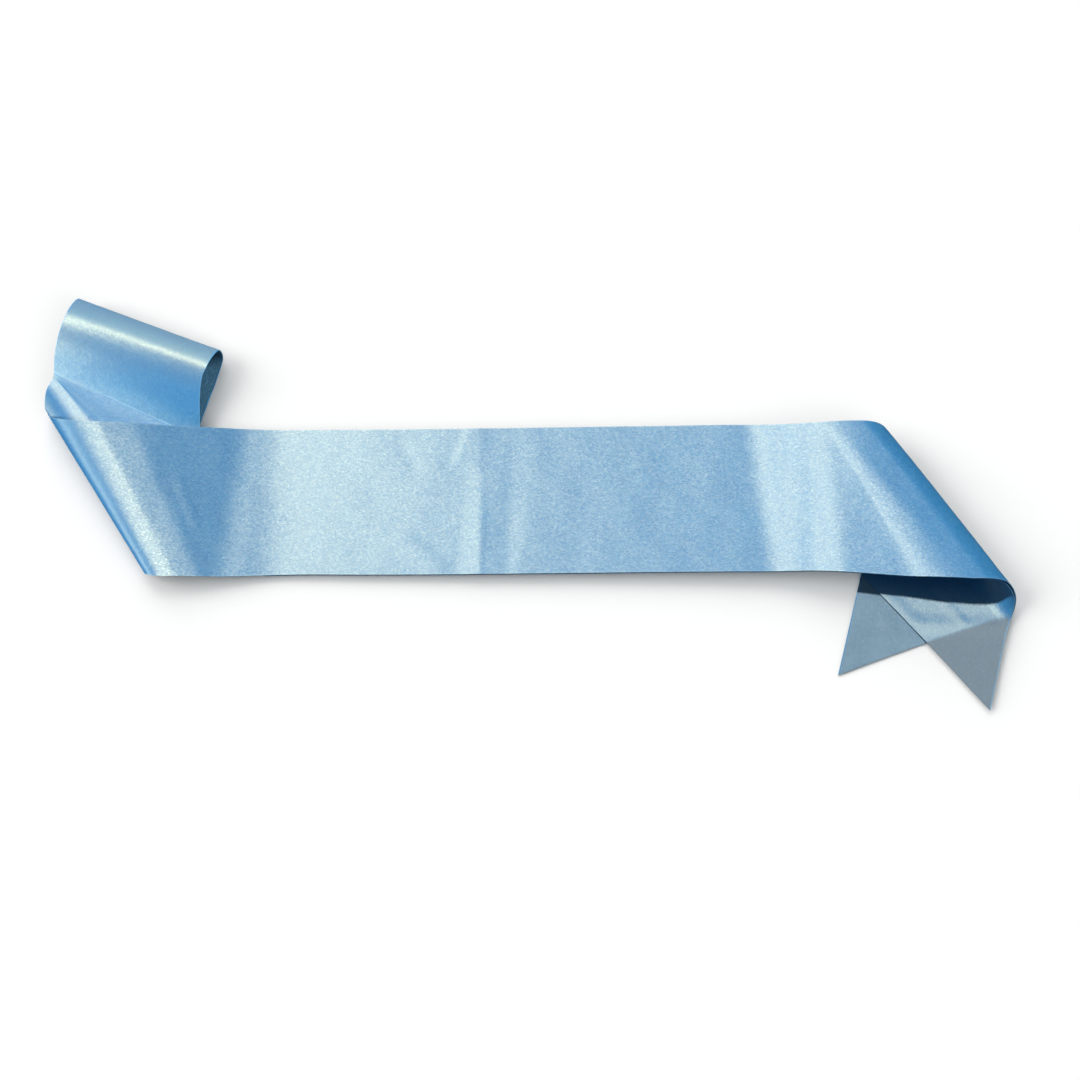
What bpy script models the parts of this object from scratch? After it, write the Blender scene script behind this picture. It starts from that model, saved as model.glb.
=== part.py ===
"""A satin sash folded like a banner and laid flat.

The sash is one long strip, doubled at the shoulder. The front panel lies across the middle and rolls
under itself on a slant at both ends. At its left end the doubled strip stands up into the shoulder
loop, and at its right end the two cut ends come out below, one on the other.

Metres, +Z up. X runs along the front panel, Y points away from its near edge, and the sash lies on z = 0.
Every cloth surface here is the middle of its wall.
"""

from collections import namedtuple

import bpy
import numpy as np

# Cloth
STRIP_WIDTH = 0.100
WALL = 0.0012
GAP = 0.0004
LAYER = WALL + GAP          # from the middle of one layer to the middle of the next
FLOOR = WALL / 2            # middle of a wall that lies on the surface

# The two slanted rolls. The fold line starts at fold_x on the near edge and runs up and left at slant
# degrees. A tightness of 0 turns evenly, and 1 turns mostly in the middle of the bend. Heights are those
# of the roll's ridge at the near and far edge, and a pull is how far the cloth is drawn along the fold
# line, up and left, by the time it is round the bend. A bulge is how far the near edge stands out the
# other way where the roll comes down.
Roll = namedtuple("Roll", "side fold_x slant tightness near_height far_height near_pull far_pull bulge")
SHOULDER_ROLL = Roll(-1, -0.2492, 55.0, 0.85, 0.0100, 0.0215, 0.0050, 0.0115, 0.0)
ENDS_ROLL = Roll(+1, 0.3186, 52.3, 0.25, 0.0257, 0.0215, 0.0014, -0.0027, 0.0028)
BULGE_START = 0.35          # shares of the bend: where the bulge starts, is whole and has gone
BULGE_WHOLE = 0.65
BULGE_END = 1.20
ROLL_FOOT = 0.003           # what the panel keeps under itself past each roll

# How the front panel dips and climbs between its two ridges. Past each ruling, which crosses it from
# near_x to far_x, the panel has new slopes at its near and far edge, reached over the ruling's width.
Ruling = namedtuple("Ruling", "near_x far_x width near_slope far_slope")
PANEL_RULINGS = (
    Ruling(-0.2295, -0.2845, 0.010, -0.092, -0.128),   # off the shoulder roll's ridge
    Ruling(-0.2130, -0.2605, 0.010, -0.176, -0.188),   # the roll's inner side
    Ruling(-0.1990, -0.1900, 0.022, -0.090, -0.070),   # down by the layers that it lies on
    Ruling(-0.1660, -0.1670, 0.030, 0.014, 0.032),     # where the doubled layers end
    Ruling(-0.0840, -0.1010, 0.012, 0.020, 0.010),
    Ruling(-0.0800, -0.0820, 0.010, 0.012, 0.018),
    Ruling(-0.0445, -0.0400, 0.006, 0.082, 0.020),     # up to a low ridge
    Ruling(-0.0320, -0.0320, 0.005, -0.012, -0.005),   # past the low ridge
    Ruling(-0.0140, -0.0100, 0.006, 0.030, 0.020),
    Ruling(-0.0064, 0.0060, 0.006, 0.006, 0.010),
    Ruling(0.0200, 0.0200, 0.050, 0.017, 0.012),
    Ruling(0.0800, 0.0700, 0.070, 0.027, 0.028),
    Ruling(0.1250, 0.1100, 0.040, 0.034, 0.038),
    Ruling(0.1600, 0.1485, 0.020, 0.190, 0.202),       # first rise to the ends roll
    Ruling(0.1755, 0.1760, 0.008, 0.234, 0.220),
    Ruling(0.1855, 0.1865, 0.008, 0.185, 0.194),
    Ruling(0.2030, 0.1930, 0.014, 0.085, 0.120),       # easing off before the last rise
    Ruling(0.2475, 0.2080, 0.016, 0.205, 0.172),
)
LAST_RISE_NEAR = 0.040      # where the panel starts to level out before the ends roll's ridge
LAST_RISE_FAR = 0.026

# How far the strip's two edges lie from straight, seen from above.
PlanRow = namedtuple("PlanRow", "x near_shift far_shift")
PLAN_ROWS = (
    PlanRow(-0.240, -0.0042, -0.0021),
    PlanRow(-0.200, -0.0031, -0.0013),
    PlanRow(-0.160, -0.0009, -0.0013),
    PlanRow(-0.100, -0.0005, -0.0011),
    PlanRow(-0.040, 0.0000, -0.0003),
    PlanRow(0.030, 0.0010, 0.0011),
    PlanRow(0.090, 0.0018, 0.0020),
    PlanRow(0.140, 0.0021, 0.0025),
    PlanRow(0.180, 0.0017, 0.0015),
    PlanRow(0.210, -0.0005, 0.0020),
    PlanRow(0.245, -0.0036, 0.0020),
    PlanRow(0.285, -0.0059, 0.0020),
)

# The two cut ends. long_edge is 0 where the near edge of the strip is the longer one, 1 where the far
# edge is, and depth is how far the end lies inside the front layer.
CutEnd = namedtuple("CutEnd", "tip_x cut_angle long_edge depth")
FRONT_END = CutEnd(0.4112, 53.8, 1, 0.0)
BACK_END = CutEnd(0.4037, 58.4, 0, LAYER)
SHORTEST_TAIL = 0.004

# The shoulder loop, from under the panel over the top and back along the surface. Each row is one
# straight line across the strip, from its right edge to its left edge.
LoopRow = namedtuple("LoopRow", "right_x right_y right_z left_x left_y left_z")
SHOULDER_ROWS = (
    LoopRow(-0.2760, 0.0270, 0.0062, -0.3070, 0.0610, 0.0070),   # under the inner roll
    LoopRow(-0.2840, 0.0240, 0.0090, -0.3145, 0.0600, 0.0096),   # lower turn
    LoopRow(-0.2870, 0.0240, 0.0120, -0.3191, 0.0594, 0.0123),   # outermost line
    LoopRow(-0.2830, 0.0270, 0.0155, -0.3192, 0.0690, 0.0160),   # upper turn
    LoopRow(-0.2720, 0.0300, 0.0165, -0.3149, 0.0792, 0.0195),   # ridge
    LoopRow(-0.2400, 0.0300, 0.0100, -0.3149, 0.0900, 0.0175),   # sheet behind the ridge
    LoopRow(-0.2190, 0.0320, 0.0048, -0.3157, 0.0975, 0.0160),   # right corner under the panel
    LoopRow(-0.2186, 0.0516, 0.0048, -0.3155, 0.1030, 0.0160),   # belly
    LoopRow(-0.2186, 0.0684, 0.0080, -0.3144, 0.1105, 0.0185),   # rise
    LoopRow(-0.2172, 0.0816, 0.0145, -0.3118, 0.1188, 0.0210),   # crest
    LoopRow(-0.2141, 0.0902, 0.0178, -0.3084, 0.1291, 0.0190),   # top of the bend
    LoopRow(-0.2107, 0.0977, 0.0165, -0.3052, 0.1360, 0.0150),   # upper bend
    LoopRow(-0.2076, 0.1029, 0.0100, -0.3036, 0.1391, 0.0095),   # tip
    LoopRow(-0.2062, 0.1000, 0.0035, -0.3045, 0.1365, 0.0035),   # lower bend
    LoopRow(-0.2085, 0.0920, 0.0006, -0.3070, 0.1290, 0.0006),   # down on the surface
    LoopRow(-0.2110, 0.0820, 0.0006, -0.3100, 0.1190, 0.0006),   # lying
)
LOOP_STEPS = 4              # mesh rows between two rows of the table

# Where the hidden layer begins, just inside the shoulder roll: far end and near end of its edge.
HIDDEN_START_FAR = (-0.2930, 0.0430)
HIDDEN_START_NEAR = (-0.2350, -0.0460)
HIDDEN_JOIN_X = -0.170      # from here on it follows the front panel

# Middle of the whole outline, which becomes the origin
ORIGIN = (-0.0020, 0.0013, 0.0)

# Mesh steps
ACROSS = 8
BEND_STEPS = 14
PITCH = 0.009               # longest step along the strip between its rolls
RULING_MARGIN = 0.003       # how far before the last rise a ruling still has a mesh row of its own
TAIL_STEPS = 10

# Material: colour, roughness
SATIN = ("sky_satin", (0.27, 0.55, 0.80, 1.0), 0.42)


def smooth_step(value):
    """Ease from 0 to 1."""
    value = np.clip(value, 0.0, 1.0)
    return value * value * (3 - 2 * value)


def soft_ramp(value):
    """The integral of smooth_step: 0 up to 0, and in step with value from 1 on."""
    inside = np.clip(value, 0.0, 1.0)
    return inside ** 3 - inside ** 4 / 2 + np.maximum(value - 1, 0)


def mix(near, far, across):
    """Between a size at the near edge, across 0, and one at the far edge, across 1."""
    return near + (far - near) * across


def unit_bend(tightness, samples=121):
    """A half turn of unit length: share of its length, reach, drop below its start, and heading."""
    share = np.linspace(0, 1, samples)
    heading = -np.pi * (share - tightness * np.sin(2 * np.pi * share) / (2 * np.pi))
    middle = (heading[1:] + heading[:-1]) / 2
    step = share[1] - share[0]
    reach = np.concatenate([[0], np.cumsum(np.cos(middle) * step)])
    drop = np.concatenate([[0], np.cumsum(-np.sin(middle) * step)])
    return share, reach, drop, heading


UNIT_BENDS = {roll: unit_bend(roll.tightness) for roll in (SHOULDER_ROLL, ENDS_ROLL)}


def fold_line_x(roll, across):
    """Where the fold line crosses the strip."""
    return roll.fold_x - across * STRIP_WIDTH / np.tan(np.radians(roll.slant))


def ridge_height(roll, across):
    return mix(roll.near_height, roll.far_height, across)


def bend_length(roll, across):
    whole_drop = UNIT_BENDS[roll][2][-1]
    return (ridge_height(roll, across) - FLOOR) / whole_drop


def roll_x(roll, across, share):
    """Flat place of a share of the roll's bend: 0 at the ridge, 1 where it is down on the surface."""
    distance = (share - 0.5) * bend_length(roll, across)
    return fold_line_x(roll, across) + roll.side * distance / np.sin(np.radians(roll.slant))


def past_roll_x(roll, across, distance):
    """Flat place this far past the end of the roll's bend, square to the fold line."""
    return roll_x(roll, across, 1.0) + roll.side * distance / np.sin(np.radians(roll.slant))


def last_rise_x(across):
    return roll_x(ENDS_ROLL, across, 0.0) - mix(LAST_RISE_NEAR, LAST_RISE_FAR, across)


def ruled_height(x, across):
    """Height of the front panel by its rulings alone, from the shoulder roll's ridge on."""
    height = ridge_height(SHOULDER_ROLL, across)
    slope = 0.0
    for ruling in PANEL_RULINGS:
        distance = x - mix(ruling.near_x, ruling.far_x, across) + ruling.width / 2
        new_slope = mix(ruling.near_slope, ruling.far_slope, across)
        height = height + (new_slope - slope) * ruling.width * soft_ramp(distance / ruling.width)
        slope = new_slope
    return height


def panel_height(x, across):
    """Height of the front panel, eased on to the ends roll's ridge over its last rise."""
    start_x = last_rise_x(across)
    rise = roll_x(ENDS_ROLL, across, 0.0) - start_x
    share = np.clip((x - start_x) / rise, 0, 1)
    begin = ruled_height(start_x, across)
    slope = mix(PANEL_RULINGS[-1].near_slope, PANEL_RULINGS[-1].far_slope, across)
    eased = (begin * (2 * share ** 3 - 3 * share ** 2 + 1)
             + slope * rise * (share ** 3 - 2 * share ** 2 + share)
             + ridge_height(ENDS_ROLL, across) * (3 * share ** 2 - 2 * share ** 3))
    return np.where(share > 0, eased, ruled_height(x, across))


def smooth_between(x, places, values):
    """A smooth curve through the values at the places."""
    slopes = np.gradient(values, places)
    index = np.clip(np.searchsorted(places, x) - 1, 0, len(places) - 2)
    step = places[index + 1] - places[index]
    share = np.clip((x - places[index]) / step, 0, 1)
    return (values[index] * (2 * share ** 3 - 3 * share ** 2 + 1)
            + slopes[index] * step * (share ** 3 - 2 * share ** 2 + share)
            + values[index + 1] * (3 * share ** 2 - 2 * share ** 3)
            + slopes[index + 1] * step * (share ** 3 - share ** 2))


def plan_shift(x, across):
    """How far the strip lies from straight, the same past each ridge as at the ridge."""
    table = np.array(PLAN_ROWS)
    x = np.clip(x, roll_x(SHOULDER_ROLL, across, 0.0), roll_x(ENDS_ROLL, across, 0.0))
    near = smooth_between(x, table[:, 0], table[:, 1])
    far = smooth_between(x, table[:, 0], table[:, 2])
    return mix(near, far, across)


def bulge_share(share):
    """How much of its bulge a roll's near edge has at this share of the bend."""
    rise = smooth_step((share - BULGE_START) / (BULGE_WHOLE - BULGE_START))
    return rise * (1 - smooth_step((share - BULGE_WHOLE) / (BULGE_END - BULGE_WHOLE)))


def strip_surface(x, across, depth=0.0):
    """A point of the folded strip from its place on the flat strip, depth metres inside the front layer."""
    x = np.asarray(x, float)
    across = np.asarray(across, float)
    middle = (SHOULDER_ROLL.fold_x + ENDS_ROLL.fold_x) / 2
    panel = panel_height(x, across)
    places = []
    for roll in (SHOULDER_ROLL, ENDS_ROLL):
        slant = np.radians(roll.slant)
        outward = roll.side * np.array([np.sin(slant), np.cos(slant)])
        distance = roll.side * (x - fold_line_x(roll, across)) * np.sin(slant)
        length = bend_length(roll, across)
        bend_share, bend_reach, bend_drop, bend_heading = UNIT_BENDS[roll]
        share = distance / length + 0.5
        before = share < 0
        past = share > 1
        heading = np.interp(share, bend_share, bend_heading)
        reach = length * (np.interp(share, bend_share, bend_reach) - 0.5)
        reach = np.where(before, distance, np.where(past, -distance, reach))
        height = ridge_height(roll, across) - length * np.interp(share, bend_share, bend_drop)
        height = np.where(before, panel, np.where(past, FLOOR, height))
        shift = reach - distance + depth * np.sin(heading)
        pull = mix(roll.near_pull, roll.far_pull, across) * smooth_step(share)
        pull -= roll.bulge * (1 - across) * bulge_share(share)
        place_x = x + shift * outward[0] - pull * np.cos(slant)
        place_y = (across - 0.5) * STRIP_WIDTH + shift * outward[1] + pull * np.sin(slant)
        places.append(np.stack([place_x, place_y, height - depth * np.cos(heading)], axis=-1))
    left = x < middle - across * STRIP_WIDTH / 2
    place = np.where(left[..., None], places[0], places[1])
    place[..., 1] += plan_shift(x, across)
    return place


def across_shares(steps=ACROSS):
    return np.linspace(0, 1, steps + 1)


def rows_between(first, last, steps):
    """Rows from first up to but not including last, evenly."""
    return [first + (last - first) * index / steps for index in range(steps)]


def rows_through(guides):
    """Rows from the first guide up to but not including the last, no more than a pitch apart."""
    rows = []
    for first, last in zip(guides[:-1], guides[1:]):
        steps = int(np.ceil(np.max(np.abs(last - first)) / PITCH))
        rows += rows_between(first, last, steps)
    return rows


def smooth_rows(rows, steps):
    """Rows with more rows between them, on a Catmull-Rom curve through each column."""
    rows = np.asarray(rows, float)
    padded = np.vstack([2 * rows[0] - rows[1], rows, 2 * rows[-1] - rows[-2]])
    finer = []
    for index in range(1, len(padded) - 2):
        before, start, end, after = padded[index - 1:index + 3]
        for step in range(steps):
            part = step / steps
            finer.append(0.5 * (2 * start + (end - before) * part
                                + (2 * before - 5 * start + 4 * end - after) * part ** 2
                                + (3 * start - before - 3 * end + after) * part ** 3))
    finer.append(rows[-1])
    return np.array(finer)


def satin_material():
    name, colour, roughness = SATIN
    material = bpy.data.materials.new(name)
    material.use_nodes = True
    shader = material.node_tree.nodes["Principled BSDF"]
    shader.inputs["Base Color"].default_value = colour
    shader.inputs["Roughness"].default_value = roughness
    material.diffuse_color = colour
    return material


def cloth_object(name, grid, collection, material):
    """A wall of cloth round a grid of points: rows along the strip, columns across it."""
    row_count, column_count = grid.shape[:2]
    faces = []
    for row in range(row_count - 1):
        for column in range(column_count - 1):
            corner = row * column_count + column
            faces.append((corner, corner + 1, corner + column_count + 1, corner + column_count))
    mesh = bpy.data.meshes.new(name)
    mesh.from_pydata((grid.reshape(-1, 3) - ORIGIN).tolist(), [], faces)
    mesh.materials.append(material)
    mesh.shade_smooth()
    mesh.set_sharp_from_angle(angle=np.radians(50))
    cloth = bpy.data.objects.new(name, mesh)
    collection.objects.link(cloth)
    wall = cloth.modifiers.new("wall", "SOLIDIFY")
    wall.thickness = WALL
    wall.offset = 0.0
    wall.use_even_offset = True
    return cloth


def ruling_lines(across, first_x):
    """Flat places of the rulings from first_x to the last rise, of the last rise and of the ridge."""
    last_rise = last_rise_x(across)
    lines = [mix(ruling.near_x, ruling.far_x, across) for ruling in PANEL_RULINGS]
    lines = [line for line in lines if min(line) > first_x and min(last_rise - line) > RULING_MARGIN]
    return lines + [last_rise, roll_x(ENDS_ROLL, across, 0.0)]


def ends_roll_lines(across):
    """Flat places of the rows round the ends roll and along its foot."""
    lines = [roll_x(ENDS_ROLL, across, step / BEND_STEPS) for step in range(BEND_STEPS)]
    foot = past_roll_x(ENDS_ROLL, across, ROLL_FOOT)
    return lines + rows_between(roll_x(ENDS_ROLL, across, 1.0), foot, 2) + [foot]


def front_panel_grid():
    """The front layer, from under the shoulder roll over the panel to under the ends roll."""
    across = across_shares()
    join = np.full(len(across), HIDDEN_JOIN_X)
    foot = past_roll_x(SHOULDER_ROLL, across, ROLL_FOOT)
    left_guides = [roll_x(SHOULDER_ROLL, across, 0.0)]
    left_guides += [mix(ruling.near_x, ruling.far_x, across) for ruling in PANEL_RULINGS[:2]]
    lines = rows_between(foot, roll_x(SHOULDER_ROLL, across, 1.0), 2)
    lines += [roll_x(SHOULDER_ROLL, across, 1 - step / BEND_STEPS) for step in range(BEND_STEPS)]
    lines += rows_through(left_guides + [join])
    lines += rows_through([join] + ruling_lines(across, HIDDEN_JOIN_X)) + ends_roll_lines(across)
    return np.array([strip_surface(line, across) for line in lines])


def hidden_layer_grid():
    """The layer under the front panel, from inside the shoulder roll to inside the ends roll."""
    across = across_shares()
    start = np.array(HIDDEN_START_NEAR) + across[:, None] * (np.array(HIDDEN_START_FAR) - HIDDEN_START_NEAR)
    start = np.column_stack([start, np.full(len(across), FLOOR + LAYER)])
    join = np.full(len(across), HIDDEN_JOIN_X)
    rows = rows_through([start, strip_surface(join, across, LAYER)])
    lines = rows_through([join] + ruling_lines(across, HIDDEN_JOIN_X)) + ends_roll_lines(across)
    rows += [strip_surface(line, across, LAYER) for line in lines]
    return np.array(rows)


def shoulder_loop_grid():
    """The loop: the upper sheet, its inner roll, the bend at the shoulder and the sheet below."""
    across = across_shares()
    table = smooth_rows(SHOULDER_ROWS, LOOP_STEPS)
    right = table[:, None, :3]
    left = table[:, None, 3:]
    rows = list(right + across[None, :, None] * (left - right))
    under = strip_surface(past_roll_x(SHOULDER_ROLL, across, ROLL_FOOT + GAP), across)
    last = rows[-1]
    rows += [last + (under - last) * step / TAIL_STEPS for step in range(1, TAIL_STEPS + 1)]
    rows = np.array(rows)
    rows[..., 2] = np.maximum(rows[..., 2], FLOOR)
    return rows


def tail_end_x(end, across):
    """Where an end is cut."""
    return end.tip_x - np.abs(across - end.long_edge) * STRIP_WIDTH / np.tan(np.radians(end.cut_angle))


def tail_grid(end):
    """A cut end past the ends roll, over the width where the cut leaves any cloth."""
    fine = across_shares(1000)
    left_over = tail_end_x(end, fine) - past_roll_x(ENDS_ROLL, fine, ROLL_FOOT + GAP)
    kept = fine[left_over > SHORTEST_TAIL]
    across = mix(kept[0], kept[-1], across_shares())
    start = past_roll_x(ENDS_ROLL, across, ROLL_FOOT + GAP)
    last = tail_end_x(end, across)
    lines = rows_between(start, last, TAIL_STEPS) + [last]
    return np.array([strip_surface(line, across, end.depth) for line in lines])


def build():
    for thing in list(bpy.data.objects):
        bpy.data.objects.remove(thing, do_unlink=True)
    collection = bpy.data.collections.new("satin_sash")
    bpy.context.scene.collection.children.link(collection)
    material = satin_material()
    pieces = {
        "front_panel": front_panel_grid(),
        "shoulder_loop": shoulder_loop_grid(),
        "front_tail": tail_grid(FRONT_END),
        "back_tail": tail_grid(BACK_END),
        "hidden_layer": hidden_layer_grid(),
    }
    for name, grid in pieces.items():
        cloth_object(name, grid, collection, material)


build()
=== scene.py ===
"""The looks of a satin sash, folded like a banner and lying on a pale floor.

The cloth is one long strip. Each stretch of it is a thin shell on the form of its CAD node, worked out
from the same named sizes: u runs along the strip, v across it from the near edge to the far edge.
Metres, +Z up.
"""
from collections import namedtuple

import bpy
import numpy as np
from mathutils import Matrix, Vector


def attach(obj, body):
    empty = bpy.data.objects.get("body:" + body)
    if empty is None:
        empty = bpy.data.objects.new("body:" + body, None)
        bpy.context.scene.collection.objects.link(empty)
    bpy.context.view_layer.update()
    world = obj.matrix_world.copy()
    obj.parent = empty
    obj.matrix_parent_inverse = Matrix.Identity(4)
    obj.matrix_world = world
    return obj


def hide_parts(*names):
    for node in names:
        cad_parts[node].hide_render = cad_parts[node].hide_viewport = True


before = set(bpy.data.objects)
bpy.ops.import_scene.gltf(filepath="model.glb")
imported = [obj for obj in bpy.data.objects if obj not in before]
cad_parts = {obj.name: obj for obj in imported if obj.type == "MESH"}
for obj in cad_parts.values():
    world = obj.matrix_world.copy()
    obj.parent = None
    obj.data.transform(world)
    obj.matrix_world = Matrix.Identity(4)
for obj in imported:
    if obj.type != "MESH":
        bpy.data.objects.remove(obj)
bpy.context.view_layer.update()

# ---------------------------------------------------------------- cloth sizes, the strip's as in the CAD
STRIP_WIDTH = 0.100
CLOTH = 0.0005              # thickness of the shell that shows
WALL = 0.0012               # thickness of the CAD's walls, whose middle the shell follows
GAP = 0.0004
LAYER = WALL + GAP          # from the middle of one layer to the middle of the next
FLOOR = WALL / 2            # middle of a wall that lies on the surface
ORIGIN = (-0.0020, 0.0013, 0.0)        # middle of the whole outline

# The two slanted rolls: fold line, tightness of the bend, height of the ridge and pull along the fold
# line at the near and far edge, and the near edge's bulge where the roll comes down. The bulge starts,
# is whole and ends at these shares of the bend.
Roll = namedtuple("Roll", "side fold_x slant tightness near_height far_height near_pull far_pull bulge")
SHOULDER_ROLL = Roll(-1, -0.2492, 55.0, 0.85, 0.0100, 0.0215, 0.0050, 0.0115, 0.0)
ENDS_ROLL = Roll(+1, 0.3186, 52.3, 0.25, 0.0257, 0.0215, 0.0014, -0.0027, 0.0028)
BULGE_START = 0.35
BULGE_WHOLE = 0.65
BULGE_END = 1.20
ROLL_FOOT = 0.003           # what the panel keeps under itself past each roll

# How the front panel climbs and dips along its length. From each ruling on, the panel has the slopes
# given at its near and far edge, reached softly over the ruling's width.
Ruling = namedtuple("Ruling", "near_x far_x width near_slope far_slope")
PANEL_RULINGS = (
    Ruling(-0.2295, -0.2845, 0.010, -0.092, -0.128),   # off the shoulder roll's ridge
    Ruling(-0.2130, -0.2605, 0.010, -0.176, -0.188),   # dark side of the roll
    Ruling(-0.1990, -0.1900, 0.022, -0.090, -0.070),   # down by the layers that it lies on
    Ruling(-0.1660, -0.1670, 0.030, 0.014, 0.032),     # where the doubled layers end
    Ruling(-0.0840, -0.1010, 0.012, 0.020, 0.010),     # slight waves in the pale stretch
    Ruling(-0.0800, -0.0820, 0.010, 0.012, 0.018),
    Ruling(-0.0445, -0.0400, 0.006, 0.082, 0.020),     # light band
    Ruling(-0.0320, -0.0320, 0.005, -0.012, -0.005),   # its sharp side
    Ruling(-0.0140, -0.0100, 0.006, 0.030, 0.020),     # faint band
    Ruling(-0.0064, 0.0060, 0.006, 0.006, 0.010),
    Ruling(0.0200, 0.0200, 0.050, 0.017, 0.012),       # gentle climb from here on
    Ruling(0.0800, 0.0700, 0.070, 0.027, 0.028),
    Ruling(0.1250, 0.1100, 0.040, 0.034, 0.038),
    Ruling(0.1600, 0.1485, 0.020, 0.190, 0.202),       # first rise to the ends roll
    Ruling(0.1755, 0.1760, 0.008, 0.234, 0.220),       # its steepest part
    Ruling(0.1855, 0.1865, 0.008, 0.185, 0.194),
    Ruling(0.2030, 0.1930, 0.014, 0.085, 0.120),       # between the two light bands
    Ruling(0.2475, 0.2080, 0.016, 0.205, 0.172),       # on to the last rise
)
LAST_RISE_NEAR = 0.040      # where the panel starts to level out before the ends roll's ridge
LAST_RISE_FAR = 0.026

# How far the strip's two edges lie from straight, seen from above
PlanRow = namedtuple("PlanRow", "x near_shift far_shift")
PLAN_ROWS = (
    PlanRow(-0.240, -0.0042, -0.0021),
    PlanRow(-0.200, -0.0031, -0.0013),
    PlanRow(-0.160, -0.0009, -0.0013),
    PlanRow(-0.100, -0.0005, -0.0011),
    PlanRow(-0.040, 0.0000, -0.0003),
    PlanRow(0.030, 0.0010, 0.0011),
    PlanRow(0.090, 0.0018, 0.0020),
    PlanRow(0.140, 0.0021, 0.0025),
    PlanRow(0.180, 0.0017, 0.0015),
    PlanRow(0.210, -0.0005, 0.0020),
    PlanRow(0.245, -0.0036, 0.0020),
    PlanRow(0.285, -0.0059, 0.0020),
)

# The two cut ends. long_edge is 0 where the near edge of the strip is the longer one, 1 where the far
# edge is, and depth is how far the end lies inside the front layer.
CutEnd = namedtuple("CutEnd", "tip_x cut_angle long_edge depth")
FRONT_END = CutEnd(0.4112, 53.8, 1, 0.0)
BACK_END = CutEnd(0.4037, 58.4, 0, LAYER)
SHORTEST_TAIL = 0.004       # where less than this is left past the roll's foot, no cloth is built
CUT_SAMPLES = 1000          # steps in which that place is looked for
CUT_BLUR = 0.002            # over which the single layer's look begins at the front end's cut

# The shoulder loop, in finer rows than the CAD's. Each row is one straight line across the strip, from
# its right to its left edge. The painted sheens say how much painted sheen greys and pales the cloth at
# these edges, where the bend and the cheek catch the light.
LoopRow = namedtuple("LoopRow", "right_x right_y right_z left_x left_y left_z right_grey left_grey")
SHOULDER_ROWS = (
    LoopRow(-0.2800, 0.0230, 0.0060, -0.3120, 0.0560, 0.0040, 0.3, 0.3),   # under the inner roll
    LoopRow(-0.2880, 0.0210, 0.0095, -0.3178, 0.0572, 0.0085, 0.3, 0.3),   # lower turn
    LoopRow(-0.2920, 0.0230, 0.0118, -0.3202, 0.0600, 0.0135, 0.3, 0.3),   # outermost line
    LoopRow(-0.2860, 0.0262, 0.0145, -0.3188, 0.0700, 0.0189, 0.3, 0.3),   # upper turn
    LoopRow(-0.2740, 0.0295, 0.0148, -0.3149, 0.0785, 0.0194, 0.3, 0.3),   # ridge
    LoopRow(-0.2590, 0.0305, 0.0122, -0.3149, 0.0797, 0.0193, 0.2, 0.3),   # sheet behind the ridge
    LoopRow(-0.2390, 0.0350, 0.0082, -0.3149, 0.0812, 0.0191, 0.1, 0.2),
    LoopRow(-0.2205, 0.0412, 0.0050, -0.3150, 0.0822, 0.0190, 0.0, 0.1),   # last of the dip
    LoopRow(-0.2188, 0.0445, 0.0048, -0.3150, 0.0838, 0.0190, 0.0, 0.1),   # up again
    LoopRow(-0.2186, 0.0550, 0.0070, -0.3152, 0.0940, 0.0196, 0.0, 0.2),   # belly
    LoopRow(-0.2186, 0.0690, 0.0118, -0.3140, 0.1065, 0.0203, 0.0, 0.6),   # rise
    LoopRow(-0.2172, 0.0806, 0.0162, -0.3110, 0.1185, 0.0214, 0.5, 0.8),   # crest
    LoopRow(-0.2141, 0.0892, 0.0175, -0.3084, 0.1275, 0.0202, 1.0, 0.9),   # top of the bend
    LoopRow(-0.2107, 0.0972, 0.0152, -0.3052, 0.1365, 0.0152, 1.0, 0.9),   # upper bend
    LoopRow(-0.2076, 0.1029, 0.0100, -0.3036, 0.1391, 0.0095, 1.0, 0.9),   # tip
    LoopRow(-0.2062, 0.1000, 0.0035, -0.3045, 0.1365, 0.0035, 0.5, 0.5),   # lower bend
    LoopRow(-0.2085, 0.0920, 0.0006, -0.3070, 0.1290, 0.0006, 0.0, 0.0),   # down on the surface
    LoopRow(-0.2110, 0.0820, 0.0006, -0.3100, 0.1190, 0.0006, 0.0, 0.0),   # lying
)

# Where the hidden layer begins, just inside the shoulder roll: far end and near end of its edge
HIDDEN_START_FAR = (-0.2930, 0.0430)
HIDDEN_START_NEAR = (-0.2350, -0.0460)
HIDDEN_JOIN_X = -0.170      # from here on it follows the front panel

# Creases in the flat strip, by where they start and end, in shares of its width across. A crease is
# height high, falls off over soft on its left side and over sharp on its right side.
Crease = namedtuple("Crease", "from_x from_across to_x to_across soft sharp height")
FRONT_CREASES = (
    Crease(-0.0845, 0.260, -0.0560, 0.020, 0.0140, 0.0110, 0.00030),   # petal by the near edge
    Crease(-0.0365, 1.050, -0.0480, 0.740, 0.0050, 0.0220, 0.00022),   # short streak at the far edge
    Crease(-0.0300, 0.520, -0.0310, 0.010, 0.0060, 0.0040, 0.00008),   # along the light band
    Crease(-0.0870, 0.950, -0.0720, 0.700, 0.0080, 0.0070, -0.00012),  # shallow dent at the far edge
    Crease(0.2050, 0.900, 0.2600, 0.250, 0.0100, 0.0080, 0.00015),     # in the rise to the ends roll
    Crease(-0.2300, 0.650, -0.2150, 0.300, 0.0050, 0.0050, 0.00010),   # in the shoulder roll
)
BACK_CREASES = (
    Crease(0.3400, 1.050, 0.3640, 0.560, 0.0080, 0.0070, 0.00032),     # in from the far edge of the upper end
    Crease(0.3660, 0.640, 0.3480, 0.020, 0.0090, 0.0080, 0.00036),     # on to the near edge
    Crease(0.3400, 0.500, 0.3540, 0.260, 0.0050, 0.0060, 0.00024),     # a short one beside it
)
CREASE_FADES = 3            # a crease fades over one third of its length at each end

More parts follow.
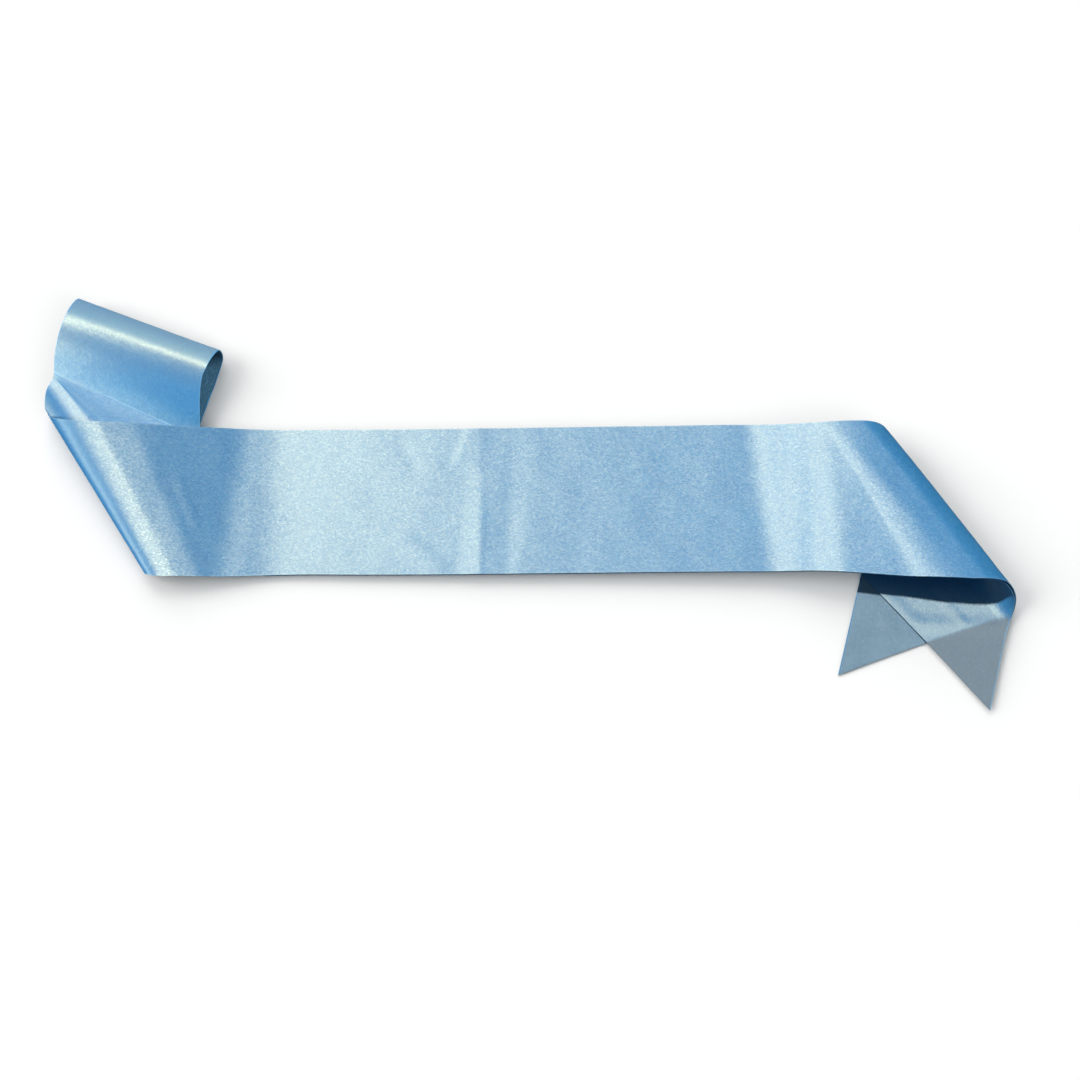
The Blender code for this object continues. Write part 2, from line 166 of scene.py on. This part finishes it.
# Gentle waves all over the cloth: length, heading in degrees from the strip's, start and height
Ripple = namedtuple("Ripple", "length heading start height")
RIPPLES = (
    Ripple(0.061, 12, 0.3, 0.00004),
    Ripple(0.043, -24, 1.9, 0.00003),
    Ripple(0.029, 33, 4.0, 0.00002),
    Ripple(0.023, -8, 2.6, 0.00001),
    Ripple(0.017, 55, 5.1, 0.00001),
)

# Where the panel is pulled taut over the shoulder roll, past its ridge
TAUT_MIDDLE = 0.003
TAUT_REACH = 0.022
TAUT_FAR = 0.4              # how taut it is at the far edge

# Mesh steps
PITCH = 0.0013              # longest step along the strip
ACROSS = 76
BEND_STEPS = 44             # rows round each roll
LOOP_STEPS = 16             # rows between two rows of the loop's table
UNDER_STEPS = 40            # rows from the loop's table to under the shoulder roll
HIDDEN_ACROSS = 40
HIDDEN_PITCH = 0.0025

# ---------------------------------------------------------------- camera and light
CAMERA_DISTANCE = 1.26
CAMERA_ELEVATION = 73.5
CAMERA_ROLL = 0.4
CAMERA_TARGET = (0.0100, -0.0263, 0.0)
SENSOR = 0.036
FRAME_WIDTH = 0.7087        # what the square frame takes in across, at the target

# Suns. A tilt is how far aside the sun stands for each metre up, and an angle is how wide it looks.
WHITE = (1.0, 1.0, 1.0)
Sun = namedtuple("Sun", "name tilt strength angle colour")
KEY_SUN = Sun("key", (-0.209, 0.490), 3.5, 4.0, (1.0, 0.97, 0.90))
LOOP_SUN = Sun("loop_side", (1.6, 0.6), 1.9, 30.0, (0.50, 0.88, 1.0))
LOW_SUN = Sun("low_side", (-3.3, -1.9), 2.2, 30.0, (0.85, 0.96, 1.0))
FLOOR_SUNS = (
    Sun("floor_left", (-2.3, 0.4), 3.1, 46.0, WHITE),
    Sun("floor_far", (-0.6, 2.2), 3.0, 60.0, WHITE),
    Sun("floor_near", (1.5, -1.8), 0.7, 60.0, WHITE),
    Sun("floor_top", (0.0, 0.0), 0.6, 120.0, WHITE),
)
FILL_COLOUR = (0.55, 0.85, 1.0, 1.0)
FILL_STRENGTH = 0.16
FLOOR_HALF = 60.0           # from the floor's middle to its sides
FLOOR_DROP = 0.0002         # how far it lies under the cloth
FLOOR_COLOUR = (0.90, 0.87, 0.85)


def smooth_step(value):
    """Ease from 0 to 1."""
    value = np.clip(value, 0.0, 1.0)
    return value * value * (3 - 2 * value)


def soft_ramp(value):
    """The integral of smooth_step: 0 up to 0, and in step with value from 1 on."""
    inside = np.clip(value, 0.0, 1.0)
    return inside ** 3 - inside ** 4 / 2 + np.maximum(value - 1, 0)


def mix(near, far, across):
    """Between a size at the near edge, across 0, and one at the far edge, across 1."""
    return near + (far - near) * across


def unit_bend(tightness, samples=181):
    """A half turn of unit length: share of its length, reach, drop below its start, and heading."""
    share = np.linspace(0, 1, samples)
    heading = -np.pi * (share - tightness * np.sin(2 * np.pi * share) / (2 * np.pi))
    middle = (heading[1:] + heading[:-1]) / 2
    step = share[1] - share[0]
    reach = np.concatenate([[0], np.cumsum(np.cos(middle) * step)])
    drop = np.concatenate([[0], np.cumsum(-np.sin(middle) * step)])
    return share, reach, drop, heading


UNIT_BENDS = {roll: unit_bend(roll.tightness) for roll in (SHOULDER_ROLL, ENDS_ROLL)}


def fold_line_x(roll, across):
    """Where the fold line crosses the strip."""
    return roll.fold_x - across * STRIP_WIDTH / np.tan(np.radians(roll.slant))


def ridge_height(roll, across):
    return mix(roll.near_height, roll.far_height, across)


def bend_length(roll, across):
    whole_drop = UNIT_BENDS[roll][2][-1]
    return (ridge_height(roll, across) - FLOOR) / whole_drop


def roll_x(roll, across, share):
    """Flat place of a share of the roll's bend: 0 at the ridge, 1 where it is down on the surface."""
    distance = (share - 0.5) * bend_length(roll, across)
    return fold_line_x(roll, across) + roll.side * distance / np.sin(np.radians(roll.slant))


def past_roll_x(roll, across, distance):
    """Flat place this far past the end of the roll's bend, square to the fold line."""
    return roll_x(roll, across, 1.0) + roll.side * distance / np.sin(np.radians(roll.slant))


def last_rise_x(across):
    return roll_x(ENDS_ROLL, across, 0.0) - mix(LAST_RISE_NEAR, LAST_RISE_FAR, across)


def ruled_height(x, across):
    """Height of the front panel by its rulings alone, from the shoulder roll's ridge on."""
    height = ridge_height(SHOULDER_ROLL, across)
    slope = 0.0
    for ruling in PANEL_RULINGS:
        distance = x - mix(ruling.near_x, ruling.far_x, across) + ruling.width / 2
        new_slope = mix(ruling.near_slope, ruling.far_slope, across)
        height = height + (new_slope - slope) * ruling.width * soft_ramp(distance / ruling.width)
        slope = new_slope
    return height


def panel_height(x, across):
    """Height of the front panel, eased on to the ends roll's ridge over its last rise."""
    start_x = last_rise_x(across)
    rise = roll_x(ENDS_ROLL, across, 0.0) - start_x
    share = np.clip((x - start_x) / rise, 0, 1)
    begin = ruled_height(start_x, across)
    slope = mix(PANEL_RULINGS[-1].near_slope, PANEL_RULINGS[-1].far_slope, across)
    eased = (begin * (2 * share ** 3 - 3 * share ** 2 + 1)
             + slope * rise * (share ** 3 - 2 * share ** 2 + share)
             + ridge_height(ENDS_ROLL, across) * (3 * share ** 2 - 2 * share ** 3))
    return np.where(share > 0, eased, ruled_height(x, across))


def smooth_between(x, places, values):
    """A smooth curve through the values at the places."""
    slopes = np.gradient(values, places)
    index = np.clip(np.searchsorted(places, x) - 1, 0, len(places) - 2)
    step = places[index + 1] - places[index]
    share = np.clip((x - places[index]) / step, 0, 1)
    return (values[index] * (2 * share ** 3 - 3 * share ** 2 + 1)
            + slopes[index] * step * (share ** 3 - 2 * share ** 2 + share)
            + values[index + 1] * (3 * share ** 2 - 2 * share ** 3)
            + slopes[index + 1] * step * (share ** 3 - share ** 2))


def plan_shift(x, across):
    """How far the strip lies from straight, the same past each ridge as at the ridge."""
    table = np.array(PLAN_ROWS)
    x = np.clip(x, roll_x(SHOULDER_ROLL, across, 0.0), roll_x(ENDS_ROLL, across, 0.0))
    near = smooth_between(x, table[:, 0], table[:, 1])
    far = smooth_between(x, table[:, 0], table[:, 2])
    return mix(near, far, across)


def bulge_share(share):
    """How much of its bulge a roll's near edge has at this share of the bend."""
    rise = smooth_step((share - BULGE_START) / (BULGE_WHOLE - BULGE_START))
    return rise * (1 - smooth_step((share - BULGE_WHOLE) / (BULGE_END - BULGE_WHOLE)))


def strip_surface(x, across, depth=0.0):
    """A point of the folded strip from its place on the flat strip, depth metres inside the front layer."""
    x = np.asarray(x, float)
    across = np.asarray(across, float)
    middle = (SHOULDER_ROLL.fold_x + ENDS_ROLL.fold_x) / 2
    panel = panel_height(x, across)
    places = []
    for roll in (SHOULDER_ROLL, ENDS_ROLL):
        slant = np.radians(roll.slant)
        outward = roll.side * np.array([np.sin(slant), np.cos(slant)])
        distance = roll.side * (x - fold_line_x(roll, across)) * np.sin(slant)
        length = bend_length(roll, across)
        bend_share, bend_reach, bend_drop, bend_heading = UNIT_BENDS[roll]
        share = distance / length + 0.5
        before = share < 0
        past = share > 1
        heading = np.interp(share, bend_share, bend_heading)
        reach = length * (np.interp(share, bend_share, bend_reach) - 0.5)
        reach = np.where(before, distance, np.where(past, -distance, reach))
        height = ridge_height(roll, across) - length * np.interp(share, bend_share, bend_drop)
        height = np.where(before, panel, np.where(past, FLOOR, height))
        shift = reach - distance + depth * np.sin(heading)
        pull = mix(roll.near_pull, roll.far_pull, across) * smooth_step(share)
        pull -= roll.bulge * (1 - across) * bulge_share(share)
        place_x = x + shift * outward[0] - pull * np.cos(slant)
        place_y = (across - 0.5) * STRIP_WIDTH + shift * outward[1] + pull * np.sin(slant)
        places.append(np.stack([place_x, place_y, height - depth * np.cos(heading)], axis=-1))
    left = x < middle - across * STRIP_WIDTH / 2
    place = np.where(left[..., None], places[0], places[1])
    place[..., 1] += plan_shift(x, across)
    return place


def crease_height(crease, x, y):
    """Height of one crease over the strip's own form."""
    run = np.array([crease.to_x - crease.from_x, (crease.to_across - crease.from_across) * STRIP_WIDTH])
    length = np.hypot(*run)
    along = run / length
    away_x = x - crease.from_x
    away_y = y - crease.from_across * STRIP_WIDTH
    share = (away_x * along[0] + away_y * along[1]) / length
    left = (away_x * along[1] - away_y * along[0]) * -np.sign(along[1])
    fall = np.where(left > 0, left / crease.soft, -left / crease.sharp)
    ends = smooth_step(share * CREASE_FADES + 0.5) * smooth_step((1 - share) * CREASE_FADES + 0.5)
    return crease.height * (1 - smooth_step(fall)) * ends


def relief(x, across, creases):
    """Height of the creases and ripples over the strip's own form."""
    y = across * STRIP_WIDTH
    height = np.zeros(np.broadcast(x, y).shape)
    for ripple in RIPPLES:
        heading = np.radians(ripple.heading)
        travel = (x * np.cos(heading) + y * np.sin(heading)) / ripple.length
        height += ripple.height * np.sin(2 * np.pi * travel + ripple.start)
    for crease in creases:
        height += crease_height(crease, x, y)
    return height


def raised(grid, height):
    """The grid with each point moved this high square to the cloth, up where the strip lies face up."""
    along = np.gradient(grid, axis=0)
    across = np.gradient(grid, axis=1)
    normal = np.cross(along, across)
    normal /= np.linalg.norm(normal, axis=-1, keepdims=True)
    return grid + normal * height[..., None]


def across_shares(steps=ACROSS):
    return np.linspace(0, 1, steps + 1)


def rows_between(first, last, pitch=PITCH):
    """Rows from first up to but not including last, evenly, a pitch apart or less."""
    steps = int(np.ceil(np.max(np.abs(np.asarray(last) - first)) / pitch))
    return [first + (last - first) * index / steps for index in range(steps)]


def smooth_rows(rows, steps):
    """Rows with more rows between them, on a Catmull-Rom curve through each column."""
    rows = np.asarray(rows, float)
    padded = np.vstack([2 * rows[0] - rows[1], rows, 2 * rows[-1] - rows[-2]])
    finer = []
    for index in range(1, len(padded) - 2):
        before, start, end, after = padded[index - 1:index + 3]
        for step in range(steps):
            part = step / steps
            finer.append(0.5 * (2 * start + (end - before) * part
                                + (2 * before - 5 * start + 4 * end - after) * part ** 2
                                + (3 * start - before - 3 * end + after) * part ** 3))
    finer.append(rows[-1])
    return np.array(finer)


# ---------------------------------------------------------------- materials
# painted glints: pale specks that stand in for light sparkling on single threads
PAINTED_GLINT_PALE = (0.420, 0.620, 0.740)
EDGE_PALE = (0.085, 0.280, 0.530)
# painted shade: greyer and darker where only one layer lies on the surface, for the surface seen through it
PAINTED_SEE_THROUGH_SHADE = (0.072, 0.138, 0.262)
# painted sheen: greyer and paler where the loop's bend and cheek catch the light
PAINTED_LOOP_SHEEN = (0.172, 0.265, 0.385)
SHEEN_TINT = (0.96, 0.96, 0.63)
SELVAGE = 0.0008            # width of the woven edge
SELVAGE_WHOLE = 0.6 * SELVAGE
GRAIN_CELL = (1050.0, 1900.0, 1.0)     # cells a metre, along and across the strip

# One side of the cloth. Patches vary between deep and plain, and the cells above light_from are lighter,
# those above speck_from get pale specks, painted glints for light sparkling on single threads.
# Patches and threads are waves a metre, along and across the strip.
# Tilts are the largest slopes of a cell along and across the strip.
Weave = namedtuple("Weave", "deep plain light light_from light_share speck_from speck_whole speck_share "
                            "patches patch_detail patch_roughness threads thread_share tilts")
FACE = Weave(
    deep=(0.026, 0.205, 0.485), plain=(0.032, 0.230, 0.512), light=(0.058, 0.262, 0.545),
    light_from=0.45, light_share=0.8, speck_from=0.955, speck_whole=0.99, speck_share=0.14,
    patches=(90.0, 45.0, 1.0), patch_detail=4.0, patch_roughness=0.65,
    threads=(260.0, 4200.0, 1.0), thread_share=0.12, tilts=(0.034, 0.120))
BACK = Weave(
    deep=(0.165, 0.275, 0.385), plain=(0.205, 0.320, 0.430), light=(0.205, 0.320, 0.430),
    light_from=0.3, light_share=0.35, speck_from=0.965, speck_whole=0.995, speck_share=0.25,
    patches=(80.0, 60.0, 1.0), patch_detail=3.0, patch_roughness=0.6,
    threads=(500.0, 2600.0, 1.0), thread_share=0.18, tilts=(0.10, 0.14))

# Roughness of the glossy side, and what a single layer and a taut stretch add to it
DULL_CELLS = 0.59
BRIGHT_CELLS = 0.51
SINGLE_ROUGHER = 0.28
TAUT_ROUGHER = -0.06

# Light that goes into the cloth and comes out close by
SCATTER = {"Subsurface_Weight": 0.30, "Subsurface_Radius": (0.25, 0.60, 1.00), "Subsurface_Scale": 0.0010}


class Graph:
    """Short calls for the nodes of one material."""

    def __init__(self, name):
        self.material = bpy.data.materials.new(name)
        self.material.use_nodes = True
        self.nodes = self.material.node_tree.nodes
        self.links = self.material.node_tree.links
        self.shader = self.nodes["Principled BSDF"]

    def put(self, kind, inputs=None, **settings):
        node = self.nodes.new(kind)
        for key, value in settings.items():
            setattr(node, key, value)
        for key, value in (inputs or {}).items():
            self.join(value, node.inputs[key])
        return node

    def join(self, value, socket):
        if isinstance(value, bpy.types.NodeSocket):
            self.links.new(value, socket)
        elif isinstance(value, tuple) and len(value) == 3 and socket.type == "RGBA":
            socket.default_value = (*value, 1.0)
        else:
            socket.default_value = value

    def surface(self, **values):
        """Set or link the shader's sockets."""
        for name, value in values.items():
            self.join(value, self.shader.inputs[name.replace("_", " ")])

    def stretch(self, vector, scale):
        return self.put("ShaderNodeMapping", {"Vector": vector, "Scale": scale}).outputs["Vector"]

    def noise(self, vector, detail, roughness=0.5):
        node = self.put("ShaderNodeTexNoise", {"Vector": vector, "Scale": 1.0, "Detail": detail,
                                               "Roughness": roughness})
        return node.outputs["Fac"]

    def cells(self, vector):
        """A random colour for each cell."""
        node = self.put("ShaderNodeTexVoronoi", {"Vector": vector, "Scale": 1.0, "Randomness": 1.0},
                        voronoi_dimensions="2D")
        return self.put("ShaderNodeSeparateColor", {"Color": node.outputs["Color"]}).outputs

    def remap(self, value, low, high, to_low=0.0, to_high=1.0):
        node = self.put("ShaderNodeMapRange", {"Value": value, "From Min": low, "From Max": high,
                                               "To Min": to_low, "To Max": to_high})
        return node.outputs["Result"]

    def add(self, first, second):
        return self.put("ShaderNodeMath", {0: first, 1: second}).outputs["Value"]

    def share(self, name):
        """What the mesh says for each point under this name."""
        return self.put("ShaderNodeAttribute", attribute_name=name).outputs["Fac"]

    def blend(self, factor, first, second):
        node = self.put("ShaderNodeMix", {"Factor": factor}, data_type="RGBA", blend_type="MIX")
        self.join(first, node.inputs[6])
        self.join(second, node.inputs[7])
        return node.outputs[2]

    def grain_normal(self, cells, tilts):
        """A normal tilted at random in each cell."""
        along, across = tilts
        tilt = self.put("ShaderNodeCombineColor", {
            "Red": self.remap(cells["Red"], 0.0, 1.0, 0.5 - along / 2, 0.5 + along / 2),
            "Green": self.remap(cells["Green"], 0.0, 1.0, 0.5 - across / 2, 0.5 + across / 2),
            "Blue": 1.0})
        node = self.put("ShaderNodeNormalMap", {"Strength": 1.0, "Color": tilt.outputs["Color"]},
                        space="TANGENT", uv_map="cloth")
        return node.outputs["Normal"]

    def edge_line(self, cloth):
        """1 on the woven selvage along both long edges of the strip, 0 elsewhere."""
        across = self.put("ShaderNodeSeparateXYZ", {"Vector": cloth}).outputs["Y"]
        near = self.remap(across, SELVAGE, SELVAGE_WHOLE)
        far = self.remap(across, STRIP_WIDTH - SELVAGE, STRIP_WIDTH - SELVAGE_WHOLE)
        return self.put("ShaderNodeMath", {0: near, 1: far}, operation="MAXIMUM").outputs["Value"]


def woven_colour(graph, cloth, cells, weave, painted_greys=()):
    """Patches, lighter cells, stretches greyed by painted shade and painted sheen, pale specks of painted
    glint, threads and the selvage.
    """
    patches = graph.noise(graph.stretch(cloth, weave.patches), weave.patch_detail, weave.patch_roughness)
    threads = graph.noise(graph.stretch(cloth, weave.threads), 1.0)
    lights = graph.remap(cells["Blue"], weave.light_from, 1.0, 0.0, weave.light_share)
    painted_glints = graph.remap(cells["Blue"], weave.speck_from, weave.speck_whole, 0.0, weave.speck_share)
    colour = graph.blend(graph.remap(patches, 0.35, 0.65), weave.deep, weave.plain)
    colour = graph.blend(lights, colour, weave.light)
    # each grey is painted shade or painted sheen
    for share, grey in painted_greys:
        colour = graph.blend(share, colour, grey)
    # painted glints: pale specks in the brightest cells
    colour = graph.blend(painted_glints, colour, PAINTED_GLINT_PALE)
    colour = graph.blend(graph.remap(threads, 0.30, 0.70, weave.thread_share, 0.0), colour, weave.deep)
    return graph.blend(graph.edge_line(cloth), colour, EDGE_PALE)


def satin_face():
    """The glossy side: long floats, so it shines across the strip and sparkles in small cells, from tilted
    normals and from painted glints.
    """
    graph = Graph("satin_face")
    cloth = graph.put("ShaderNodeUVMap", uv_map="cloth").outputs["UV"]
    # where to paint see-through shade, and where the cloth is rougher
    single = graph.share("single")
    cells = graph.cells(graph.stretch(cloth, GRAIN_CELL))
    # painted see-through shade on lone layers, then painted sheen on the loop
    painted_greys = ((single, PAINTED_SEE_THROUGH_SHADE), (graph.share("grey"), PAINTED_LOOP_SHEEN))
    tangent = graph.put("ShaderNodeTangent", direction_type="UV_MAP", uv_map="cloth")
    width = graph.remap(cells["Blue"], 0.0, 1.0, BRIGHT_CELLS, DULL_CELLS)
    width = graph.add(width, graph.remap(single, 0.0, 1.0, 0.0, SINGLE_ROUGHER))
    width = graph.add(width, graph.remap(graph.share("taut"), 0.0, 1.0, 0.0, TAUT_ROUGHER))
    graph.surface(Base_Color=woven_colour(graph, cloth, cells, FACE, painted_greys), Roughness=width,
                  Anisotropic=0.83, Anisotropic_Rotation=0.25, Specular_IOR_Level=0.90, IOR=1.90,
                  Specular_Tint=SHEEN_TINT, Normal=graph.grain_normal(cells, FACE.tilts),
                  Tangent=tangent.outputs["Tangent"], **SCATTER)
    return graph.material


def satin_back():
    """The matte side, a little greyer."""
    graph = Graph("satin_back")
    cloth = graph.put("ShaderNodeUVMap", uv_map="cloth").outputs["UV"]
    cells = graph.cells(graph.stretch(cloth, GRAIN_CELL))
    # its pale specks are painted glints too
    graph.surface(Base_Color=woven_colour(graph, cloth, cells, BACK), Roughness=0.62,
                  Specular_IOR_Level=0.30, Normal=graph.grain_normal(cells, BACK.tilts), **SCATTER)
    return graph.material


# ---------------------------------------------------------------- cloth meshes
def sheet_mesh(name, grid, face_up):
    """A mesh with one face between each four neighbouring points of the grid."""
    row_count, column_count = grid.shape[:2]
    corner = np.arange(row_count * column_count).reshape(row_count, column_count)
    faces = np.stack([corner[:-1, :-1], corner[:-1, 1:], corner[1:, 1:], corner[1:, :-1]], axis=-1)
    faces = faces.reshape(-1, 4)
    if face_up:
        faces = faces[:, ::-1]
    mesh = bpy.data.meshes.new(name)
    mesh.from_pydata((grid - ORIGIN).reshape(-1, 3).tolist(), [], faces.tolist())
    return mesh


def add_flat_map(mesh, along, across, shape):
    """Each point's place on the flat strip, in metres, as the mesh's UV map."""
    point_of_corner = np.zeros(len(mesh.loops), int)
    mesh.loops.foreach_get("vertex_index", point_of_corner)
    flat = np.stack([np.broadcast_to(along, shape), np.broadcast_to(across * STRIP_WIDTH, shape)], axis=-1)
    layer = mesh.uv_layers.new(name="cloth")
    layer.data.foreach_set("uv", flat.reshape(-1, 2)[point_of_corner].astype(np.float32).ravel())


def add_share(mesh, name, share, shape):
    """A share for each point, which the glossy side reads by its name."""
    values = np.broadcast_to(share, shape).astype(np.float32).ravel()
    mesh.attributes.new(name, "FLOAT", "POINT").data.foreach_set("value", values)


def sharpen_outline(mesh):
    """Mark the edges with a face on one side only, so that the shell's rim is shaded on its own."""
    faces_on_edge = np.zeros(len(mesh.edges), int)
    edge_of_corner = np.zeros(len(mesh.loops), int)
    mesh.loops.foreach_get("edge_index", edge_of_corner)
    np.add.at(faces_on_edge, edge_of_corner, 1)
    sharp = mesh.attributes.new("sharp_edge", "BOOLEAN", "EDGE")
    sharp.data.foreach_set("value", faces_on_edge == 1)


def cloth_piece(name, grid, along, across, materials, face_up, single=0.0, grey=0.0, taut=0.0):
    """A thin shell round a grid of points: rows along the strip, columns across it."""
    shape = grid.shape[:2]
    mesh = sheet_mesh(name, grid, face_up)
    add_flat_map(mesh, along, across, shape)
    # single carries painted see-through shade, grey carries painted sheen
    for key, share in (("single", single), ("grey", grey), ("taut", taut)):
        add_share(mesh, key, share, shape)
    for material in materials:
        mesh.materials.append(material)
    mesh.shade_smooth()
    sharpen_outline(mesh)
    piece = bpy.data.objects.new(name, mesh)
    bpy.context.scene.collection.objects.link(piece)
    shell = piece.modifiers.new("shell", "SOLIDIFY")
    shell.thickness = CLOTH
    shell.offset = 0.0
    shell.material_offset = 1
    shell.material_offset_rim = 0
    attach(piece, "root")
    return piece


def roll_and_foot(roll, across):
    """Flat places of the rows round a roll and along its foot."""
    down = roll_x(roll, across, 1.0)
    foot = past_roll_x(roll, across, ROLL_FOOT)
    lines = [roll_x(roll, across, step / BEND_STEPS) for step in range(BEND_STEPS)]
    return lines + rows_between(down, foot) + [foot]


def front_panel(materials):
    across = across_shares()
    ridges = [roll_x(roll, across, 0.0) for roll in (SHOULDER_ROLL, ENDS_ROLL)]
    lines = roll_and_foot(SHOULDER_ROLL, across)[:0:-1] + rows_between(*ridges)
    lines = np.array(lines + roll_and_foot(ENDS_ROLL, across))
    grid = raised(strip_surface(lines, across), relief(lines, across, FRONT_CREASES))
    past_ridge = lines - roll_x(SHOULDER_ROLL, across, 0.0)
    taut = (1 - smooth_step(np.abs(past_ridge - TAUT_MIDDLE) / TAUT_REACH)) * mix(1, TAUT_FAR, across)
    return cloth_piece("front_panel_satin", grid, lines, across, materials, True, taut=taut)


def single_layer(x, across):
    """1 where the back layer has no front layer under it, past the front end's cut; there the glossy side is
    painted greyer and darker, painted shade for the surface seen through one layer.
    """
    return smooth_step((x - tail_end_x(FRONT_END, across)) / CUT_BLUR + 0.5)


def hidden_layer(materials):
    across = across_shares(HIDDEN_ACROSS)
    start = np.array(HIDDEN_START_NEAR) + across[:, None] * (np.array(HIDDEN_START_FAR) - HIDDEN_START_NEAR)
    start = np.column_stack([start, np.full(len(across), FLOOR + LAYER)])
    join_x = np.full(len(across), HIDDEN_JOIN_X)
    lead = rows_between(start, strip_surface(join_x, across, LAYER), HIDDEN_PITCH)
    lead_x = np.array([row[:, 0] for row in lead])
    lines = rows_between(join_x, roll_x(ENDS_ROLL, across, 0.0), HIDDEN_PITCH)
    lines = np.array(lines + roll_and_foot(ENDS_ROLL, across))
    grid = raised(strip_surface(lines, across, LAYER), relief(lines, across, BACK_CREASES))
    rows = np.concatenate([lead, grid])
    along = np.concatenate([lead_x, lines])
    # painted see-through shade past the front end's cut
    return cloth_piece("hidden_layer_satin", rows, along, across, materials, False,
                       single_layer(along, across))


def tail_end_x(end, across):
    """Where an end is cut."""
    return end.tip_x - np.abs(across - end.long_edge) * STRIP_WIDTH / np.tan(np.radians(end.cut_angle))


def tail(name, end, creases, materials, face_up, single_shade_share):
    """A cut end past the ends roll, over the width where the cut leaves any cloth."""
    fine = across_shares(CUT_SAMPLES)
    kept = fine[tail_end_x(end, fine) - past_roll_x(ENDS_ROLL, fine, ROLL_FOOT) > SHORTEST_TAIL]
    across = mix(kept[0], kept[-1], across_shares())
    start = past_roll_x(ENDS_ROLL, across, ROLL_FOOT)
    last = tail_end_x(end, across)
    lines = np.array(rows_between(start, last) + [last])
    grid = raised(strip_surface(lines, across, end.depth), relief(lines, across, creases))
    # painted see-through shade: single_shade_share of it over two layers, and where the end lies alone
    single = mix(single_shade_share[0], single_shade_share[1], single_layer(lines, across))
    return cloth_piece(name, grid, lines, across, materials, face_up, single)


def shoulder_loop(materials):
    across = across_shares()
    table = smooth_rows(SHOULDER_ROWS, LOOP_STEPS)
    right = table[:, None, 0:3]
    left = table[:, None, 3:6]
    rows = list(right + across[None, :, None] * (left - right))
    under = strip_surface(past_roll_x(SHOULDER_ROLL, across, ROLL_FOOT + GAP), across)
    last = rows[-1]
    rows += [last + (under - last) * step / UNDER_STEPS for step in range(1, UNDER_STEPS + 1)]
    rows = np.array(rows)
    steps = np.linalg.norm(np.diff(rows, axis=0), axis=-1).mean(axis=1)
    along = np.concatenate([[0], np.cumsum(steps)])[:, None]
    rows = raised(rows, relief(along, across, ()))
    rows[..., 2] = np.maximum(rows[..., 2], FLOOR)
    # painted sheen on the loop, row by row, none where it lies under the shoulder roll
    grey = mix(table[:, 6:7], table[:, 7:8], across)
    grey = np.concatenate([grey, np.zeros((UNDER_STEPS, len(across)))])
    return cloth_piece("shoulder_loop_satin", rows, along, across, materials, True, grey=grey)


# ---------------------------------------------------------------- stage
def camera():
    roll = np.radians(CAMERA_ROLL)
    elevation = np.radians(CAMERA_ELEVATION)
    back = np.array([0, -np.cos(elevation), np.sin(elevation)])
    level = np.array([1.0, 0, 0])
    rise = np.array([0, np.sin(elevation), np.cos(elevation)])
    right = np.cos(roll) * level + np.sin(roll) * rise
    up = -np.sin(roll) * level + np.cos(roll) * rise
    data = bpy.data.cameras.new("camera")
    data.sensor_width = SENSOR * 1000
    data.lens = SENSOR * 1000 * CAMERA_DISTANCE / FRAME_WIDTH
    data.clip_start = 0.01
    thing = bpy.data.objects.new("camera", data)
    place = np.array(CAMERA_TARGET) + CAMERA_DISTANCE * back
    turn = Matrix(np.column_stack([right, up, back]).tolist()).to_4x4()
    thing.matrix_world = Matrix.Translation(place) @ turn
    bpy.context.scene.collection.objects.link(thing)
    bpy.context.scene.camera = thing


def sun(kind, receivers):
    """A sun that lights only the receivers."""
    data = bpy.data.lights.new(kind.name, "SUN")
    data.energy = kind.strength
    data.angle = np.radians(kind.angle)
    data.color = kind.colour
    thing = bpy.data.objects.new(kind.name, data)
    thing.rotation_mode = "QUATERNION"
    thing.rotation_quaternion = Vector((*kind.tilt, 1.0)).to_track_quat("Z", "Y")
    bpy.context.scene.collection.objects.link(thing)
    lit = bpy.data.collections.new(kind.name + "_lights")
    for receiver in receivers:
        lit.objects.link(receiver)
    thing.light_linking.receiver_collection = lit


def pale_floor():
    graph = Graph("pale_floor")
    graph.surface(Base_Color=FLOOR_COLOUR, Roughness=0.9, Specular_IOR_Level=0.1)
    corners = [(side_x * FLOOR_HALF, side_y * FLOOR_HALF, 0)
               for side_x, side_y in ((-1, -1), (1, -1), (1, 1), (-1, 1))]
    mesh = bpy.data.meshes.new("floor")
    mesh.from_pydata(corners, [], [(0, 1, 2, 3)])
    mesh.materials.append(graph.material)
    floor = bpy.data.objects.new("floor", mesh)
    floor.location.z = -FLOOR_DROP
    floor.visible_diffuse = False
    floor.visible_glossy = False
    bpy.context.scene.collection.objects.link(floor)
    return floor


def fill_light():
    world = bpy.data.worlds.new("studio")
    world.use_nodes = True
    background = world.node_tree.nodes["Background"]
    background.inputs["Color"].default_value = FILL_COLOUR
    background.inputs["Strength"].default_value = FILL_STRENGTH
    bpy.context.scene.world = world


def stage(panel, loop, pieces):
    floor = pale_floor()
    fill_light()
    sun(KEY_SUN, pieces)
    sun(LOOP_SUN, [loop])
    sun(LOW_SUN, [panel, loop])
    for floor_sun in FLOOR_SUNS:
        sun(floor_sun, [floor])


def build():
    bpy.context.scene.view_settings.view_transform = "Standard"
    satin = [satin_face(), satin_back()]
    panel = front_panel(satin)
    loop = shoulder_loop(satin)
    # painted shade on the upper end: a fifth of it over two layers, all of it where it lies alone
    upper = tail("back_tail_satin", BACK_END, BACK_CREASES, satin, False, (0.20, 1.0))
    lower = tail("front_tail_satin", FRONT_END, FRONT_CREASES, satin, True, (0.0, 0.0))
    hidden = hidden_layer(satin)
    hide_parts("front_panel")
    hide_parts("shoulder_loop")
    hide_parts("back_tail")
    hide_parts("front_tail")
    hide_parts("hidden_layer")
    camera()
    stage(panel, loop, [panel, loop, upper, lower, hidden])


build()
